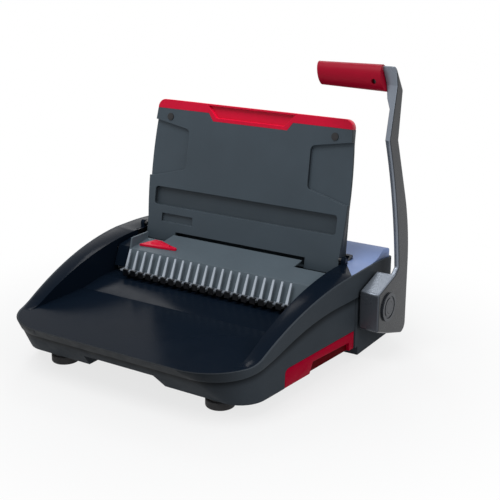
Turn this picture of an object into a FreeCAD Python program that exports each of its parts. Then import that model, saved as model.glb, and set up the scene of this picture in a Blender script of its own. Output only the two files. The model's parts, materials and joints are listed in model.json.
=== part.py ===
import FreeCAD, Part
import math
import os
import Sketcher

from FreeCAD import Placement, Rotation, Vector

# Comb binding machine. Millimetres. The pieces are drawn in the mechanism frame: X = 0 is the middle
# of the row of tines, Y = 0 the plane of their tips with +Y to the rear, Z = 0 the table. Every body is
# then placed by the same shift, which brings the origin to the middle of the footprint.

SIZES = {
    # outer hull
    "half_width": 217.0,
    "arm_width": 40.0,
    "front_y": -240.0,
    "rear_y": 176.0,
    "taper_end_y": 55.0,
    "rear_corner": 14.0,
    "wall": 3.0,
    "rim_corner": 82.0,
    "rim_flare": 4.6,
    "skirt_z": 19.5,
    "skirt_front_y": -194.0,
    "skirt_corner": 40.0,
    "skirt_flare": 5.16,
    "rear_skirt_z": 6.0,
    "rear_skirt_y": 62.0,
    "panel_step": 1.2,
    "post_y": 53.5,
    "arch_half_foot": 65.0,
    "arch_half_top": 59.0,
    "arch_top_z": 40.0,
    "arch_depth": 44.0,
    "arch_gap": 0.3,
    "split_y": 60.0,
    "split_inner_y": 95.0,
    "split_outer_y": 38.0,
    # seam between the lower and the upper housing
    "seam_front_z": 59.0,
    "seam_turn_y": -115.0,
    "seam_turn_z": 78.0,
    "seam_crest_y": 10.0,
    "seam_rear_z": 95.5,
    # crest line of the arms
    "lip_z": 74.0,
    "nose_start_y": -189.0,
    "nose_end_y": -163.0,
    "nose_end_z": 80.0,
    "crest_y": 62.0,
    "crest_z": 131.5,
    "crest_end_y": 90.0,
    "crest_rear_z": 124.6,
    # paper tray
    "ramp_start_y": -75.0,
    "ramp_end_y": -27.0,
    "floor_rear_z": 80.0,
    "floor_end_y": 8.0,
    "bar_window_end_y": 40.0,
    # rear cover
    "deck_z": 131.0,
    "deck_end_y": 98.0,
    "hump_top_y": 164.0,
    "hump_top_z": 138.8,
    "cover_gap": 0.3,
    "trough_gap": 1.5,
    # bottom plate and feet
    "plate_thick": 3.0,
    "foot_inset": 83.0,
    "foot_front_y": -166.0,
    "foot_rear_y": 120.0,
    "foot_radius": 20.0,
    "foot_neck": 17.0,
    "foot_pad": 12.0,
    "foot_round": 2.5,
    # drawer
    "drawer_front_y": -114.0,
    "drawer_rear_y": 52.0,
    "drawer_top_z": 46.0,
    "drawer_corner": 7.0,
    "drawer_face": 21.0,
    "drawer_gap": 0.6,
    "drawer_back_x": -142.0,
    "drawer_floor_z": 25.0,
    "drawer_rim_z": 44.0,
    "drawer_side": 8.0,
    "drawer_wall": 2.0,
    "pull_depth": 13.5,
    "pull_slant": 7.0,
    "pull_front_y": -57.0,
    "pull_rear_y": 40.0,
    "pull_top_z": 29.0,
    "rail_thick": 2.0,
    "rail_height": 14.0,
    "rail_start_x": -146.0,
    "rail_gap": 4.0,
    # tines, hooks and tower
    "tine_count": 21.0,
    "tine_pitch": 14.2875,
    "tine_tip_z": 120.0,
    "tine_base_y": -14.0,
    "tine_base_z": 90.4,
    "tine_width": 4.6,
    "tine_tip_width": 3.0,
    "tine_thick": 1.8,
    "strip_thick": 1.8,
    "strip_rear_y": 10.0,
    "strip_margin": 8.0,
    "hook_thick": 1.6,
    "hook_gap": 0.4,
    "hook_front_y": -25.0,
    "hook_rear_y": 9.0,
    "hook_width": 9.0,
    "hook_height": 9.0,
    "hook_lip": 4.5,
    "hook_bar_y": -17.6,
    "tower_margin": 8.125,
    "tower_gap": 3.0,
    "tower_foot_y": -7.5,
    "tower_crease_y": 5.9,
    "tower_crease_z": 119.0,
    "tower_rear_y": 50.0,
    "tower_rear_z": 100.0,
    "tower_wall": 2.4,
    "tower_front_wall": 2.7,
    "tongue_y": 74.0,
    "tongue_z": 128.5,
    "tongue_gap": 0.8,
    "cheek_thick": 3.0,
    "cheek_front_y": 10.5,
    "cheek_z": 135.2,
    "end_gap": 1.5,
    "end_setback": 5.0,
    # punch unit
    "frame_gap": 4.0,
    "frame_thick": 3.5,
    "frame_rear_y": 124.0,
    "frame_front_y": 7.0,
    "frame_top_z": 118.0,
    "frame_step_y": 56.0,
    "frame_step_z": 62.0,
    "die_rear_y": 38.0,
    "die_thick": 6.0,
    "throat": 6.6,
    "guide_rear_y": 34.0,
    "gauge_front_y": 34.0,
    "pin_y": 22.0,
    "pin_width": 8.0,
    "pin_depth": 3.0,
    "pin_fit": 0.3,
    "pin_tip_z": 88.0,
    "head_z": 104.0,
    "head_thick": 3.0,
    "head_depth": 10.0,
    "head_margin": 7.125,
    "bar_depth": 16.0,
    "bar_height": 7.0,
    "bar_reach": 1.5,
    "bar_rise": 3.0,
    "bar_gap": 0.6,
    # drive
    "shaft_y": 88.5,
    "shaft_z": 78.0,
    "shaft_radius": 8.0,
    "shaft_end": 3.0,
    "shaft_grip": 20.5,
    "bore_gap": 1.0,
    "fit": 0.08,
    "bush_radius": 11.0,
    "bush_flange": 14.0,
    "bush_flange_thick": 1.2,
    "wall_hole": 14.0,
    "throw": 10.0,
    "throw_angle": 37.5,
    "disc_radius": 20.0,
    "yoke_thick": 5.0,
    "yoke_slack": 0.9,
    "yoke_rim": 8.0,
    "yoke_travel_rear": 4.5,
    # handle
    "hub_gap": 2.5,
    "hub_thick": 30.5,
    "hub_front_y": 57.5,
    "hub_rear_y": 152.0,
    "hub_low_y": 90.5,
    "hub_front_low_z": 49.0,
    "hub_mid_low_z": 36.5,
    "hub_rear_low_y": 138.0,
    "hub_rear_low_z": 21.5,
    "hub_corner": 14.0,
    "hub_front_top_z": 105.0,
    "hub_step_y": 110.0,
    "hub_step_z": 120.0,
    "hub_back_z": 96.0,
    "hub_round": 4.0,
    "arm_front_foot_y": 119.0,
    "arm_front_foot_z": 128.0,
    "arm_front_bend": 735.0,
    "arm_front_kink_y": 71.2,
    "arm_front_kink_z": 320.7,
    "arm_front_top_y": 88.0,
    "arm_front_drop": 27.0,
    "arm_tip_y": 83.0,
    "arm_tip_z": 419.0,
    "arm_rear_foot_z": 124.0,
    "arm_rear_mid_y": 129.5,
    "arm_rear_mid_z": 240.0,
    "arm_rear_bend": 305.0,
    "arm_rear_kink_y": 100.0,
    "arm_rear_kink_z": 317.0,
    "arm_rear_top_y": 107.5,
    "arm_rear_drop": 35.0,
    "arm_thick": 8.0,
    "head_start_drop": 58.0,
    "head_end_drop": 45.0,
    "arm_head": 22.2,
    "grip_reach": 119.0,
    "grip_y": 87.0,
    "grip_drop": 18.0,
    "grip_tall": 18.0,
    "grip_deep": 12.0,
    "grip_free_tall": 16.0,
    "grip_free_deep": 10.5,
    "grip_free_shift": 7.0,
    "screw_reach": 29.6,
    "screw_drop": 4.0,
    "screw_radius": 3.6,
    "screw_sink": 3.0,
    "screw_fit": 0.3,
    "cap_radius": 21.0,
    "cap_inner": 9.0,
    "cap_thick": 2.5,
    "cap_groove": 3.0,
    "cap_groove_depth": 1.0,
    "bolt_radius": 8.6,
    # lid
    "lid_y": 82.0,
    "lid_z": 137.0,
    "lid_lean": 10.5,
    "lid_top_gap": 5.7,
    "lid_gap": 3.5,
    "lid_side_start": 12.0,
    "lid_side_bow": 770.0,
    "lid_foot_corner": 9.0,
    "lid_face": 1.0,
    "lid_low": 22.5,
    "lid_high": 200.0,
    "lid_panel_depth": 8.0,
    "lid_back_low": 24.5,
    "lid_back_high": 11.0,
    "lid_back_wall": 1.8,
    "lid_corner": 13.5,
    "trim_low": 186.0,
    "tongue_low": 174.0,
    "tongue_low_half": 65.5,
    "tongue_high_half": 74.6,
    "finger_low": 179.5,
    "finger_high": 197.0,
    "finger_rim": 6.0,
    "finger_slant": 1.0,
    "finger_depth": 5.0,
    "lobe_width": 56.1,
    "notch_top": -6.3,
    "groove_margin": 10.5,
    "groove_low": 33.3,
    "groove_high": 62.3,
    "groove_depth": 6.6,
    "groove_round": 5.0,
    "recess_low_reach": 62.3,
    "recess_high_reach": 63.3,
    "recess_low": 92.5,
    "recess_high": 158.0,
    "recess_flare_low": 14.0,
    "recess_flare_high": 9.5,
    "recess_depth": 5.0,
    "recess_corner": 8.0,
    "slot_margin": 27.0,
    "slot_width": 59.0,
    "slot_low": 8.0,
    "slot_high": 21.0,
    "slot_depth": 4.0,
    "bumper_inset": 25.8,
    "bumper_w": 173.7,
    "bumper_radius": 5.5,
    "bumper_thick": 1.4,
    "pivot_radius": 3.5,
    "pivot_reach": 6.5,
    "pivot_fit": 0.1,
    "lug_gap": 5.0,
    "lug_thick": 6.0,
    "lug_radius": 4.8,
    # edge guide
    "lever_start": 10.0,
    "lever_length": 64.0,
    "lever_front_y": 18.5,
    "lever_tip_y": 24.5,
    "lever_tip_width": 4.0,
    "lever_rear_y": 41.0,
    "lever_neck_x": 54.0,
    "lever_neck_y": 31.0,
    "lever_back_start": 14.0,
    "lever_back_end": 26.0,
    "lever_thick": 3.4,
    "lever_gap": 0.3,
    "ridge_height": 2.2,
    "ridge_half": 3.0,
    "ridge_y": 29.0,
    "ridge_start": 16.0,
    "ridge_length": 34.0,
    "stem_start": 15.0,
    "stem_length": 9.0,
    "stem_y": 34.0,
    "stem_depth": 4.0,
    "stem_gap": 0.5,
    "guide_travel": 16.0,
    "slide_length": 30.0,
    "slide_depth": 11.0,
    "slide_low_z": 113.5,
    "slide_top_z": 117.5,
}

doc = FreeCAD.newDocument("comb_binding_machine")
sheet = doc.addObject("Spreadsheet::Sheet", "Sizes")
for row, (word, number) in enumerate(SIZES.items(), start=1):
    sheet.set(f"A{row}", word)
    sheet.set(f"B{row}", str(number))
    sheet.setAlias(f"B{row}", word)
doc.recompute()


class Size:
    """A number together with the sheet expression that drives it."""

    def __init__(self, value, text):
        self.value = float(value)
        self.text = text

    def __add__(self, other):
        other = as_size(other)
        return Size(self.value + other.value, f"({self.text} + {other.text})")

    def __radd__(self, other):
        return as_size(other) + self

    def __sub__(self, other):
        other = as_size(other)
        return Size(self.value - other.value, f"({self.text} - {other.text})")

    def __rsub__(self, other):
        return as_size(other) - self

    def __mul__(self, other):
        other = as_size(other)
        return Size(self.value * other.value, f"({self.text} * {other.text})")

    def __rmul__(self, other):
        return as_size(other) * self

    def __truediv__(self, other):
        other = as_size(other)
        return Size(self.value / other.value, f"({self.text} / {other.text})")

    def __neg__(self):
        return Size(-self.value, f"(0 - {self.text})")


def as_size(number):
    return number if isinstance(number, Size) else Size(number, repr(number))


def degrees(function, name):
    """A trigonometric function of an angle in degrees."""
    def apply(angle):
        return Size(function(math.radians(angle.value)), f"{name}({angle.text} * 1 deg)")
    return apply


sine = degrees(math.sin, "sin")
cosine = degrees(math.cos, "cos")
tangent = degrees(math.tan, "tan")


class Sheet:
    """The driving sizes by name."""

    def __getattr__(self, word):
        return Size(sheet.get(word), f"Sizes.{word}")


D = Sheet()
ZERO = as_size(0)
# lengths that only have to reach past the part they cut
FAR = 3 * D.half_width
NEAR = D.half_width / 2
OVER = D.wall

# places across the width, from the middle outwards
channel_half = D.half_width - D.arm_width
frame_inner_x = channel_half + D.frame_gap
frame_outer_x = frame_inner_x + D.frame_thick
bar_half = frame_outer_x + D.bar_reach
lid_foot_half = channel_half - D.lid_gap
lid_half = channel_half - D.lid_top_gap
hub_inner_x = D.half_width + D.hub_gap
hub_outer_x = hub_inner_x + D.hub_thick
shaft_left_x = -bar_half - D.yoke_thick - D.shaft_end
shaft_right_x = hub_inner_x + D.shaft_grip

shift_x = (hub_outer_x + D.cap_thick - D.half_width) / -2
shift_y = (D.front_y + D.rear_y) / -2
bodies = []


def place(item, x, y, z):
    """Put a body at a point of the mechanism frame, moved to the shared origin."""
    for axis, size in (("x", x + shift_x), ("y", y + shift_y), ("z", as_size(z))):
        item.setExpression(f"Placement.Base.{axis}", size.text)


def new_body(label, x=ZERO, y=ZERO, z=ZERO):
    body = doc.addObject("PartDesign::Body", label)
    body.Label = label
    body.AllowCompound = True
    place(body, x, y, z)
    bodies.append(body)
    return body


def base_plane(body, plane):
    role = f"{plane}_Plane"
    return next(item for item in body.Origin.OriginFeatures if item.Role == role)


def new_sketch(body, plane, height=None):
    """Sketch on XY, YZ or XZ; height is measured along the plane's normal (+Z, +X or -Y)."""
    item = body.newObject("Sketcher::SketchObject", f"{body.Label}_sketch")
    item.AttachmentSupport = (base_plane(body, plane), [""])
    item.MapMode = "FlatFace"
    if height is not None:
        item.AttachmentOffset = Placement(Vector(0, 0, height.value), Rotation())
        item.setExpression("AttachmentOffset.Base.z", height.text)
    return item


def bind(item, kind, places, size):
    index = item.addConstraint(Sketcher.Constraint(kind, *places, size.value))
    item.setExpression(f"Constraints[{index}]", size.text)


def fix_point(item, edge, end, point):
    bind(item, "DistanceX", (-1, 1, edge, end), as_size(point[0]))
    bind(item, "DistanceY", (-1, 1, edge, end), as_size(point[1]))


def arc_between(first, last, radius, turn):
    """Arc from one point to the next: turn is +1 to the left and -1 to the right."""
    chord = last - first
    normal = Vector(-chord.y, chord.x, 0) * (turn / chord.Length)
    rise = math.sqrt(max(radius ** 2 - (chord.Length / 2) ** 2, 0))
    centre = (first + last) / 2 + normal * rise
    ends = (first, last) if turn > 0 else (last, first)
    angles = [math.atan2(end.y - centre.y, end.x - centre.x) for end in ends]
    return Part.ArcOfCircle(Part.Circle(centre, Vector(0, 0, 1), radius), *angles)


def outline(item, points):
    """Closed outline. A point is (u, v), or (u, v, radius, turn) when an arc leads on from it."""
    places = [Vector(as_size(p[0]).value, as_size(p[1]).value, 0) for p in points]
    starts, ends = [], []
    for index, point in enumerate(points):
        first, last = places[index], places[(index + 1) % len(points)]
        if len(point) == 2:
            edge = item.addGeometry(Part.LineSegment(first, last), False)
            starts.append((edge, 1))
            ends.append((edge, 2))
        else:
            radius, turn = as_size(point[2]), point[3]
            edge = item.addGeometry(arc_between(first, last, radius.value, turn), False)
            starts.append((edge, 1 if turn > 0 else 2))
            ends.append((edge, 2 if turn > 0 else 1))
    for index in range(len(points)):
        item.addConstraint(Sketcher.Constraint("Coincident", *ends[index - 1], *starts[index]))
    for point, start in zip(points, starts):
        fix_point(item, *start, point)
    for index, point in enumerate(points):
        if len(point) > 2:
            bind(item, "Radius", (starts[index][0],), as_size(point[2]))
    return item


def circle(item, centre, radius):
    middle = Vector(as_size(centre[0]).value, as_size(centre[1]).value, 0)
    edge = item.addGeometry(Part.Circle(middle, Vector(0, 0, 1), radius.value), False)
    fix_point(item, edge, 3, centre)
    bind(item, "Radius", (edge,), radius)
    return item


def box(left, low, right, high):
    return [(left, low), (right, low), (right, high), (left, high)]


def round_box(left, low, right, high, radius):
    return [
        (left + radius, low), (right - radius, low, radius, 1),
        (right, low + radius), (right, high - radius, radius, 1),
        (right - radius, high), (left + radius, high, radius, 1),
        (left, high - radius), (left, low + radius, radius, 1),
    ]


def extrude(body, kind, sketch, length, both=False, back=False):
    item = body.newObject(f"PartDesign::{kind}", f"{body.Label}_{kind.lower()}")
    item.Profile = sketch
    if both:
        item.SideType = "Symmetric"
    item.Length = length.value
    item.setExpression("Length", length.text)
    item.Reversed = back
    body.Tip = item
    return item


def pad(body, sketch, length, both=False, back=False):
    """Add along the sketch normal, against it with back, or half each way with both."""
    return extrude(body, "Pad", sketch, length, both, back)


def cut(body, sketch, length, both=False, back=False):
    """Remove along the sketch normal, against it with back, or half each way with both."""
    return extrude(body, "Pocket", sketch, length, both, not back)


def loft(body, kind, low, high):
    item = body.newObject(f"PartDesign::{kind}Loft", f"{body.Label}_loft")
    item.Profile = low
    item.Sections = [high]
    item.Ruled = True
    body.Tip = item
    return item


def row(body, feature, count, pitch):
    """Repeat a feature along +X."""
    item = body.newObject("PartDesign::LinearPattern", f"{body.Label}_row")
    item.Originals = [feature]
    axis = next(line for line in body.Origin.OriginFeatures if line.Role == "X_Axis")
    item.Direction = (axis, [""])
    item.Mode = "Spacing"
    item.Offset = pitch.value
    item.setExpression("Offset", pitch.text)
    item.Occurrences = int(count.value)
    item.setExpression("Occurrences", count.text)
    body.Tip = item
    return item


def mirror(body, feature):
    """Repeat a feature on the other side of X = 0."""
    item = body.newObject("PartDesign::Mirrored", f"{body.Label}_mirror")
    item.Originals = [feature]
    item.MirrorPlane = (base_plane(body, "YZ"), [""])
    body.Tip = item
    return item


def round_edges(body, radius, chosen):
    """Fillet the edges of the body that the test picks out."""
    doc.recompute()
    tip = body.Tip
    names = [f"Edge{n}" for n, edge in enumerate(tip.Shape.Edges, start=1) if chosen(edge)]
    item = body.newObject("PartDesign::Fillet", f"{body.Label}_fillet")
    item.Base = (tip, names)
    item.Radius = radius.value
    item.setExpression("Radius", radius.text)
    body.Tip = item
    return item


AXIS_X = Vector(1, 0, 0)


def along_x(edge):
    """True for a straight edge across the machine."""
    ends = [vertex.Point for vertex in edge.Vertexes]
    return len(ends) == 2 and (ends[1] - ends[0]).cross(AXIS_X).Length < 1e-6


def hull_outline(front, corner, flare, inset):
    """Plan of the hull: rounded front corners, sides that flare to the rear, square rear end."""
    half, rear = D.half_width - inset, D.rear_y - inset
    nose, tail = corner - inset, D.rear_corner - inset
    side_y = front + corner - nose * sine(flare)
    side_x = half - (D.taper_end_y - side_y) * tangent(flare)
    nose_x = side_x - nose * cosine(flare)
    return [
        (nose_x, front + inset, nose, 1),
        (side_x, side_y),
        (half, D.taper_end_y),
        (half, rear - tail, tail, 1),
        (half - tail, rear),
        (tail - half, rear, tail, 1),
        (-half, rear - tail),
        (-half, D.taper_end_y),
        (-side_x, side_y, nose, 1),
        (-nose_x, front + inset),
    ]


def hull_sketches(body, inset):
    low = new_sketch(body, "XY", D.skirt_z)
    outline(low, hull_outline(D.skirt_front_y, D.skirt_corner, D.skirt_flare, inset))
    high = new_sketch(body, "XY", D.lip_z)
    outline(high, hull_outline(D.front_y, D.rim_corner, D.rim_flare, inset))
    return low, high


def hull(body, inset):
    """Solid hull from the skirt to well above the arms."""
    low, high = hull_sketches(body, inset)
    loft(body, "Additive", low, high)
    pad(body, high, NEAR)


def hollow(body, inset):
    """Take the inside of the hull away."""
    low, high = hull_sketches(body, inset)
    loft(body, "Subtractive", low, high)
    cut(body, high, NEAR)


def arc_radius(run, rise):
    """Radius of an arc that leaves level and climbs by rise over run."""
    return (run * run + rise * rise) / (2 * rise)


def seam_line():
    """Seam from the front to the rear: level, climbing in two arcs, level again."""
    climb = arc_radius(D.seam_turn_y - D.front_y, D.seam_turn_z - D.seam_front_z)
    crown = arc_radius(D.seam_crest_y - D.seam_turn_y, D.seam_rear_z - D.seam_turn_z)
    return [
        (D.front_y - NEAR, D.seam_front_z),
        (D.front_y, D.seam_front_z, climb, 1),
        (D.seam_turn_y, D.seam_turn_z, crown, -1),
        (D.seam_crest_y, D.seam_rear_z),
        (D.rear_y + NEAR, D.seam_rear_z),
    ]


def crest_line(drop):
    """Upper edge of the arms: a level lip, a climb to the crest and a slow fall to the rear."""
    nose = arc_radius(D.nose_end_y - D.nose_start_y, D.nose_end_z - D.lip_z)
    crown = arc_radius(D.crest_y - D.nose_end_y, D.crest_z - D.nose_end_z)
    fall = arc_radius(D.rear_y - D.crest_end_y, D.crest_z - D.crest_rear_z)
    return [
        (D.front_y - NEAR, D.lip_z - drop),
        (D.nose_start_y, D.lip_z - drop, nose, 1),
        (D.nose_end_y, D.nose_end_z - drop, crown, -1),
        (D.crest_y, D.crest_z - drop),
        (D.crest_end_y, D.crest_z - drop, fall, -1),
        (D.rear_y, D.crest_rear_z - drop),
        (D.rear_y + NEAR, D.crest_rear_z - drop),
    ]


def above(line):
    return line + [(line[-1][0], FAR), (line[0][0], FAR)]


def below(line):
    return line + [(line[-1][0], -FAR), (line[0][0], -FAR)]


def side_cut(body, points):
    """Cut a YZ outline across the whole width."""
    return cut(body, outline(new_sketch(body, "YZ"), points), 2 * FAR, both=True)


def keep_side(body, points):
    """Cut away all that lies outside a YZ outline."""
    item = outline(new_sketch(body, "YZ"), box(-FAR, -FAR, FAR, FAR))
    cut(body, outline(item, points), 2 * FAR, both=True)


# lower housing
lower = new_body("lower_housing")
hull(lower, D.panel_step)


def rear_plan(front, inset):
    """Plan of the rear part, which stands proud of the side panels."""
    half, rear, corner = D.half_width - inset, D.rear_y - inset, D.rear_corner - inset
    return [
        (-half, front + inset), (half, front + inset),
        (half, rear - corner, corner, 1), (half - corner, rear),
        (corner - half, rear, corner, 1), (-half, rear - corner),
    ]


side_cut(lower, above(seam_line()))
post = outline(new_sketch(lower, "XY", D.skirt_z), rear_plan(D.post_y, ZERO))
pad(lower, post, D.seam_rear_z - D.skirt_z)
skirt = outline(new_sketch(lower, "XY", D.rear_skirt_z), rear_plan(D.rear_skirt_y, ZERO))
pad(lower, skirt, D.skirt_z - D.rear_skirt_z)
hollow(lower, D.wall)
well = outline(new_sketch(lower, "XY", D.rear_skirt_z), rear_plan(D.rear_skirt_y, D.wall))
cut(lower, well, D.skirt_z - D.rear_skirt_z)
arch_rear_y = D.skirt_front_y + D.arch_depth
arch_block_half = D.arch_half_foot + D.wall
front_lean = (D.skirt_front_y - D.front_y) / (D.lip_z - D.skirt_z)
block_front_y = D.skirt_front_y + (D.panel_step + D.wall) / 2
block_top_z = D.arch_top_z + D.wall
arch_block = outline(new_sketch(lower, "YZ"), [
    (block_front_y, D.skirt_z), (arch_rear_y, D.skirt_z), (arch_rear_y, block_top_z),
    (block_front_y - (block_top_z - D.skirt_z) * front_lean, block_top_z),
])
pad(lower, arch_block, 2 * arch_block_half, both=True)
arch = new_sketch(lower, "XZ", D.wall - arch_rear_y)
outline(arch, [
    (-D.arch_half_foot, D.skirt_z), (D.arch_half_foot, D.skirt_z),
    (D.arch_half_top, D.arch_top_z), (-D.arch_half_top, D.arch_top_z),
])
cut(lower, arch, NEAR)


def drawer_outline(gap):
    """Side view of the drawer front, rounded at its upper front corner."""
    corner = D.drawer_corner + gap
    front, rear, top = D.drawer_front_y - gap, D.drawer_rear_y + gap, D.drawer_top_z + gap
    return [(front, ZERO), (rear, ZERO), (rear, top), (front + corner, top, corner, 1), (front, top - corner)]


window = outline(new_sketch(lower, "YZ", NEAR), drawer_outline(D.drawer_gap))
cut(lower, window, D.half_width)
cut(lower, circle(new_sketch(lower, "YZ", NEAR), (D.shaft_y, D.shaft_z), D.wall_hole), D.half_width)

# upper housing
upper = new_body("upper_housing")
hull(upper, ZERO)
side_cut(upper, below(seam_line()))
side_cut(upper, above(crest_line(ZERO)))
hollow(upper, D.wall)

# tray panel
tray = new_body("tray_panel")
hull(tray, D.wall)
side_cut(tray, above(crest_line(ZERO)))


def floor_line(drop):
    return [
        (D.front_y - NEAR, D.lip_z - drop), (D.ramp_start_y, D.lip_z - drop),
        (D.ramp_end_y, D.floor_rear_z - drop), (D.floor_end_y, D.floor_rear_z - drop),
    ]


channel = outline(new_sketch(tray, "YZ"), floor_line(ZERO) + [
    (D.floor_end_y, -FAR), (D.rear_y + NEAR, -FAR), (D.rear_y + NEAR, FAR), (D.front_y - NEAR, FAR),
])
cut(tray, channel, 2 * channel_half, both=True)
under = outline(new_sketch(tray, "YZ"), floor_line(D.wall) + [
    (D.floor_end_y, -FAR), (D.front_y - NEAR, -FAR),
])
cut(tray, under, 2 * (channel_half + D.wall), both=True)
arm_space = outline(new_sketch(tray, "YZ", channel_half + D.wall), below(crest_line(D.wall)))
mirror(tray, cut(tray, arm_space, NEAR))
wall_foot = outline(new_sketch(tray, "YZ"), box(D.floor_end_y, -FAR, D.rear_y, D.lip_z - D.wall))
cut(tray, wall_foot, 2 * FAR, both=True)
bar_z = D.head_z + D.head_thick
bar_y = D.pin_y - D.bar_depth / 2 - D.bar_gap
bar_rear_y = bar_y + D.bar_depth + 2 * D.bar_gap
bar_path_z = bar_z + D.bar_height + D.bar_rise
bar_window = outline(new_sketch(tray, "YZ"), box(D.floor_end_y, -FAR, D.bar_window_end_y, bar_path_z))
cut(tray, bar_window, 2 * (channel_half + D.wall), both=True)
shaft_space = outline(new_sketch(tray, "YZ"), box(D.split_y, -FAR, D.rear_y, D.seam_rear_z))
cut(tray, shaft_space, 2 * (channel_half + D.wall), both=True)
cover_left_x = -channel_half - D.wall
cover_bay = outline(new_sketch(tray, "XY"), [
    (cover_left_x - D.cover_gap, D.split_y), (channel_half, D.split_y), (channel_half, D.split_inner_y),
    (D.half_width, D.split_outer_y), (FAR, D.split_outer_y), (FAR, FAR), (cover_left_x - D.cover_gap, FAR),
])
cut(tray, cover_bay, FAR)

# rear cover
cover_right_x = D.half_width - D.wall - D.cover_gap
cover_rear_y = D.rear_y - D.wall - D.cover_gap


def cover_line(inset, front):
    """Side view of the rear cover: level deck, a soft climb behind the lid, rounded top, upright back."""
    rear = cover_rear_y - inset
    back = cover_rear_y - D.hump_top_y - inset
    middle_y = (D.deck_end_y + D.hump_top_y) / 2
    middle_z = (D.deck_z + D.hump_top_z) / 2
    climb = arc_radius(middle_y - D.deck_end_y, middle_z - D.deck_z)
    return [
        (front, D.seam_rear_z),
        (rear, D.seam_rear_z),
        (rear, D.hump_top_z - inset - back, back, 1),
        (D.hump_top_y, D.hump_top_z - inset, climb, 1),
        (middle_y, middle_z - inset, climb, -1),
        (D.deck_end_y, D.deck_z - inset),
        (front, D.deck_z - inset),
    ]


cover = new_body("rear_cover")
cover_side = outline(new_sketch(cover, "YZ", cover_left_x), cover_line(ZERO, D.split_y))
pad(cover, cover_side, cover_right_x - cover_left_x)
tail = D.rear_corner - D.wall
rear_corner = outline(new_sketch(cover, "XY"), [
    (cover_right_x, cover_rear_y - tail, tail, 1), (cover_right_x - tail, cover_rear_y),
    (cover_right_x - tail, cover_rear_y + OVER), (cover_right_x + OVER, cover_rear_y + OVER),
    (cover_right_x + OVER, cover_rear_y - tail),
])
cut(cover, rear_corner, FAR)
end_round = D.hump_top_z - D.deck_z
right_end = outline(new_sketch(cover, "XZ", -FAR), [
    (cover_right_x, D.deck_z, end_round, 1), (cover_right_x - end_round, D.hump_top_z),
    (cover_right_x - end_round, FAR), (cover_right_x + OVER, FAR), (cover_right_x + OVER, D.deck_z),
])
cut(cover, right_end, 2 * FAR)
left_end = outline(new_sketch(cover, "XZ", -FAR), [
    (cover_left_x + end_round, D.hump_top_z, end_round, 1), (cover_left_x, D.deck_z),
    (cover_left_x - OVER, D.deck_z), (cover_left_x - OVER, FAR), (cover_left_x + end_round, FAR),
])
cut(cover, left_end, 2 * FAR)
trough_radius = D.lid_back_low + D.lid_face + D.trough_gap
trough_low = D.lid_z - trough_radius
inner_start_x = cover_left_x + end_round
inner_cover = outline(new_sketch(cover, "YZ", inner_start_x), cover_line(D.wall, D.split_y - OVER))
cut(cover, inner_cover, cover_right_x - end_round - inner_start_x)
trough_shell = outline(new_sketch(cover, "YZ"), [
    (D.split_y, trough_low - D.wall), (D.lid_y, trough_low - D.wall, trough_radius + D.wall, 1),
    (D.lid_y + trough_radius + D.wall, D.lid_z), (D.deck_end_y, D.deck_z), (D.split_y, D.deck_z),
])
pad(cover, trough_shell, 2 * (channel_half + D.wall), both=True)
apron = outline(
    new_sketch(cover, "YZ"), box(D.tower_rear_y, trough_low - D.wall, D.split_y, trough_low))
pad(cover, apron, 2 * channel_half, both=True)
trough = outline(new_sketch(cover, "YZ"), [
    (D.split_y, trough_low), (D.lid_y, trough_low, trough_radius, 1),
    (D.lid_y + trough_radius, D.lid_z), (D.lid_y + trough_radius, FAR), (D.split_y, FAR),
])
cut(cover, trough, 2 * channel_half, both=True)
flank = outline(
    new_sketch(cover, "YZ", channel_half), box(D.split_outer_y, D.deck_z - D.wall, D.deck_end_y, D.deck_z))
pad(cover, flank, cover_right_x - channel_half)
split_edge_x = channel_half - D.cover_gap
split_shift = 2 * D.cover_gap
arm_front = outline(new_sketch(cover, "XY"), [
    (split_edge_x, D.split_outer_y - OVER), (FAR, D.split_outer_y - OVER),
    (FAR, D.split_outer_y + split_shift), (D.half_width, D.split_outer_y + split_shift),
    (split_edge_x, D.split_inner_y + split_shift),
])
cut(cover, arm_front, FAR)

# bottom plate and feet
bottom = new_body("bottom_plate")
base = outline(new_sketch(bottom, "XY", D.skirt_z), hull_outline(
    D.skirt_front_y, D.skirt_corner, D.skirt_flare, D.wall))
pad(bottom, base, D.plate_thick)
drawer_face_x = D.half_width - D.drawer_face
drawer_notch = outline(new_sketch(bottom, "XY", D.skirt_z), box(
    drawer_face_x - D.drawer_gap, D.drawer_front_y - D.drawer_gap,
    D.half_width, D.drawer_rear_y + D.drawer_gap))
cut(bottom, drawer_notch, D.plate_thick)
arch_notch_half = arch_block_half + D.arch_gap
arch_notch = outline(new_sketch(bottom, "XY", D.skirt_z), box(
    -arch_notch_half, D.skirt_front_y, arch_notch_half, arch_rear_y + D.arch_gap))
cut(bottom, arch_notch, D.plate_thick)

for label, side, foot_y in (
    ("foot_front_left", -1, D.foot_front_y), ("foot_front_right", 1, D.foot_front_y),
    ("foot_rear_left", -1, D.foot_rear_y), ("foot_rear_right", 1, D.foot_rear_y),
):
    foot = new_body(label, side * (D.half_width - D.foot_inset), foot_y)
    pad(foot, circle(new_sketch(foot, "XY"), (ZERO, ZERO), D.foot_radius), D.foot_pad)
    round_edges(foot, D.foot_round, lambda edge: len(edge.Vertexes) == 1)
    neck = circle(new_sketch(foot, "XY", D.foot_pad), (ZERO, ZERO), D.foot_neck)
    pad(foot, neck, D.skirt_z - D.foot_pad)

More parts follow.
